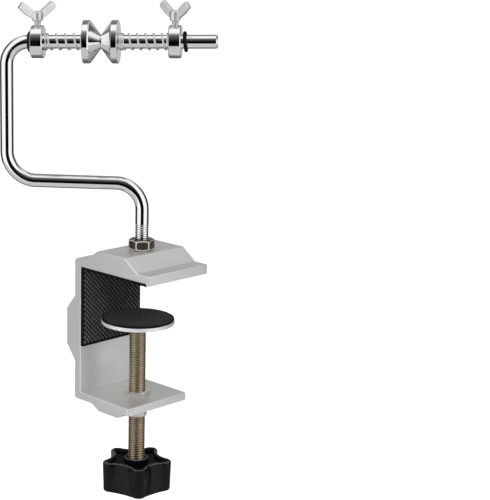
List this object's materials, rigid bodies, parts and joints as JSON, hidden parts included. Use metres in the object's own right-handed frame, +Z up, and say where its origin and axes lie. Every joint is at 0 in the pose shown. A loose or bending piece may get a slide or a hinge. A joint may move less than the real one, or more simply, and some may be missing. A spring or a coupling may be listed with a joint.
{
  "type": "fishing line winder",
  "caption": "Table-clamped line winder: C-clamp with a screw and lobed knob, a bent swivelling arm and a spindle with sprung cones that centre a spool.",
  "frame": {"origin": "on the clamp screw's axis, on the jaw pad's lower face, where a table top's edge bears", "axes": "+Z up along the clamp screw, +X out of the clamp's mouth, +Y along the clamp's extrusion"},
  "size_m": [0.1, 0.0854, 0.2955],
  "materials": {
    "frame_aluminium": "fine satin, as extruded and blasted",
    "black_rubber": "moulded, matte",
    "bush_steel": "nickel plated",
    "plate_steel": "zinc plated",
    "screw_steel": "yellow zinc plated",
    "knob_plastic": "moulded, glossy",
    "insert_brass": "turned",
    "rod_chrome": "bright chrome plated",
    "nut_steel": "black nickel plated",
    "polished_aluminium": "turned and polished",
    "wing_zinc": "cast, bright zinc plated",
    "spring_steel": "bright drawn wire"
  },
  "bodies": {
    "clamp": {"clamp_frame": "frame_aluminium", "spine_pad": "black_rubber", "jaw_pad": "black_rubber", "threaded_bush": "bush_steel"},
    "press_foot": {"press_plate": "plate_steel", "press_pad": "black_rubber"},
    "screw": {"clamp_screw": "screw_steel", "knob": "knob_plastic", "knob_insert": "insert_brass"},
    "arm": {"arm_rod": "rod_chrome", "left_collar": "polished_aluminium", "left_o_ring": "black_rubber"},
    "lock_nut": {"lock_nut": "nut_steel"},
    "left_stud": {"left_wing_stud": "wing_zinc"},
    "left_wings": {"left_wing": "wing_zinc"},
    "right_collar": {"right_collar": "polished_aluminium", "right_o_ring": "black_rubber"},
    "right_stud": {"right_wing_stud": "wing_zinc"},
    "right_wings": {"right_wing": "wing_zinc"},
    "left_slider": {"left_spring": "spring_steel"},
    "left_cone": {"left_cone": "polished_aluminium"},
    "right_slider": {"right_spring": "spring_steel"},
    "right_cone": {"right_cone": "polished_aluminium"}
  },
  "joints": [
    {"name": "jaw_travel", "type": "slide", "parent": "clamp", "child": "press_foot", "axis": [0, 0, 1], "range_m": [-0.0412, 0.0271]},
    {"name": "screw_turn", "type": "hinge", "parent": "press_foot", "child": "screw", "pos_m": [0, 0, -0.09], "axis": [0, 0, 1], "range_deg": [-9900, 6510]},
    {"name": "arm_swivel", "type": "hinge", "parent": "clamp", "child": "arm", "pos_m": [0.0024, 0, 0.01], "axis": [0, 0, 1], "range_deg": [-180, 180]},
    {"name": "lock_nut_turn", "type": "hinge", "parent": "arm", "child": "lock_nut", "pos_m": [0.0024, 0, 0.0173], "axis": [0, 0, 1], "range_deg": [0, 360]},
    {"name": "left_stud_out", "type": "slide", "parent": "arm", "child": "left_stud", "axis": [-0.016, -0.0135, 0.9998], "range_m": [0, 0.0014]},
    {"name": "left_wing_turn", "type": "hinge", "parent": "left_stud", "child": "left_wings", "pos_m": [-0.04513, -0.03988, 0.14683], "axis": [-0.016, -0.0135, 0.9998], "range_deg": [0, 725]},
    {"name": "right_stud_out", "type": "slide", "parent": "right_collar", "child": "right_stud", "axis": [-0.016, -0.0135, 0.9998], "range_m": [0, 0.0014]},
    {"name": "right_wing_turn", "type": "hinge", "parent": "right_stud", "child": "right_wings", "pos_m": [0.01591, 0.01134, 0.14849], "axis": [-0.016, -0.0135, 0.9998], "range_deg": [0, 725]},
    {"name": "right_collar_slide", "type": "slide", "parent": "arm", "child": "right_collar", "axis": [0.7659, 0.6426, 0.0209], "range_m": [0, 0.017]},
    {"name": "left_cone_slide", "type": "slide", "parent": "arm", "child": "left_slider", "axis": [-0.7659, -0.6426, -0.0209], "range_m": [0, 0.014], "stiffness_N_per_m": 2700, "springref_m": -0.001, "deforming": ["left_spring"]},
    {"name": "left_cone_spin", "type": "hinge", "parent": "left_slider", "child": "left_cone", "pos_m": [-0.0205, -0.01922, 0.1355], "axis": [0.7659, 0.6426, 0.0209], "continuous": true},
    {"name": "right_cone_slide", "type": "slide", "parent": "right_collar", "child": "right_slider", "axis": [0.7659, 0.6426, 0.0209], "range_m": [0, 0.02], "stiffness_N_per_m": 1950, "springref_m": -0.001, "deforming": ["right_spring"]},
    {"name": "right_cone_spin", "type": "hinge", "parent": "right_slider", "child": "right_cone", "pos_m": [-0.01285, -0.01279, 0.1357], "axis": [0.7659, 0.6426, 0.0209], "continuous": true}
  ],
  "couplings": [
    {"joint": "screw_turn", "follows": "jaw_travel", "rad_per_m": 4188.8},
    {"joint": "left_wing_turn", "follows": "left_stud_out", "rad_per_m": 8976},
    {"joint": "right_wing_turn", "follows": "right_stud_out", "rad_per_m": 8976}
  ]
}
